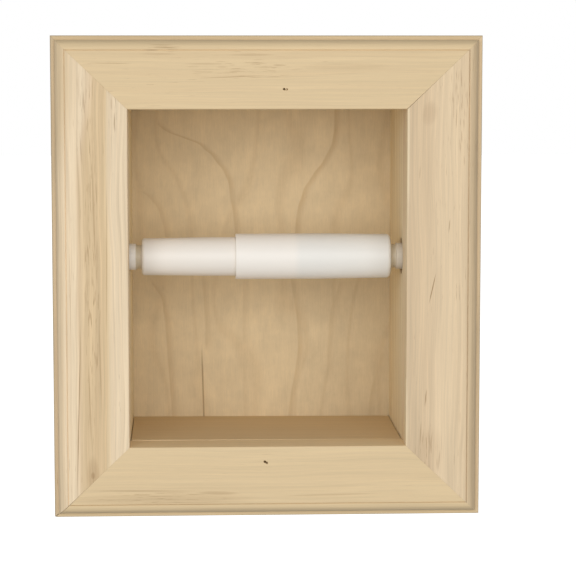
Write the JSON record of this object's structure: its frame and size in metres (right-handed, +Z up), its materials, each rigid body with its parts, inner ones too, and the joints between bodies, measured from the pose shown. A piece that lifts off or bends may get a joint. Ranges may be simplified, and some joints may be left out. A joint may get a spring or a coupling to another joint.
{
  "type": "recessed toilet paper holder",
  "caption": "Unfinished pine box holder for a toilet roll, let into a wall, with a mitred moulded face frame and a spring roller across the opening.",
  "frame": {"origin": "centre of the rectangular opening, in the plane of the frame's back, which is the face of the wall", "axes": "+Z up, -Y out of the wall towards the user, +Y into the wall, +X along the roller towards its thicker tube"},
  "size_m": [0.2032, 0.0945, 0.2286],
  "materials": {
    "pine_frame": "bare sanded pine, satin",
    "pine_box": "bare planed pine, satin",
    "birch_ply": "bare birch plywood, matte",
    "white_plastic": "moulded, semi-gloss, slightly translucent",
    "steel_nails": "bright wire",
    "spring_steel": "bright wire"
  },
  "bodies": {
    "holder": {"frame_top_rail": "pine_frame", "frame_bottom_rail": "pine_frame", "frame_left_stile": "pine_frame", "frame_right_stile": "pine_frame", "mitre_v_nails": "steel_nails", "frame_brads": "steel_nails", "box_top_board": "pine_box", "box_bottom_board": "pine_box", "box_left_side": "pine_box", "box_right_side": "pine_box", "box_corner_brads": "steel_nails", "back_panel": "birch_ply", "back_panel_brads": "steel_nails"},
    "roller_outer": {"roller_outer_tube": "white_plastic", "roller_spring": "spring_steel"},
    "roller_inner": {"roller_inner_tube": "white_plastic"}
  },
  "joints": [
    {"name": "roller_spin", "type": "hinge", "parent": "holder", "child": "roller_outer", "pos_m": [0, 0.0096, 0.0083], "axis": [1, 0, 0], "continuous": true},
    {"name": "roller_compress", "type": "slide", "parent": "roller_outer", "child": "roller_inner", "axis": [1, 0, 0], "range_m": [0, 0.0425], "stiffness_N_per_m": 250, "springref_m": -0.015, "deforming": ["roller_spring"]}
  ]
}
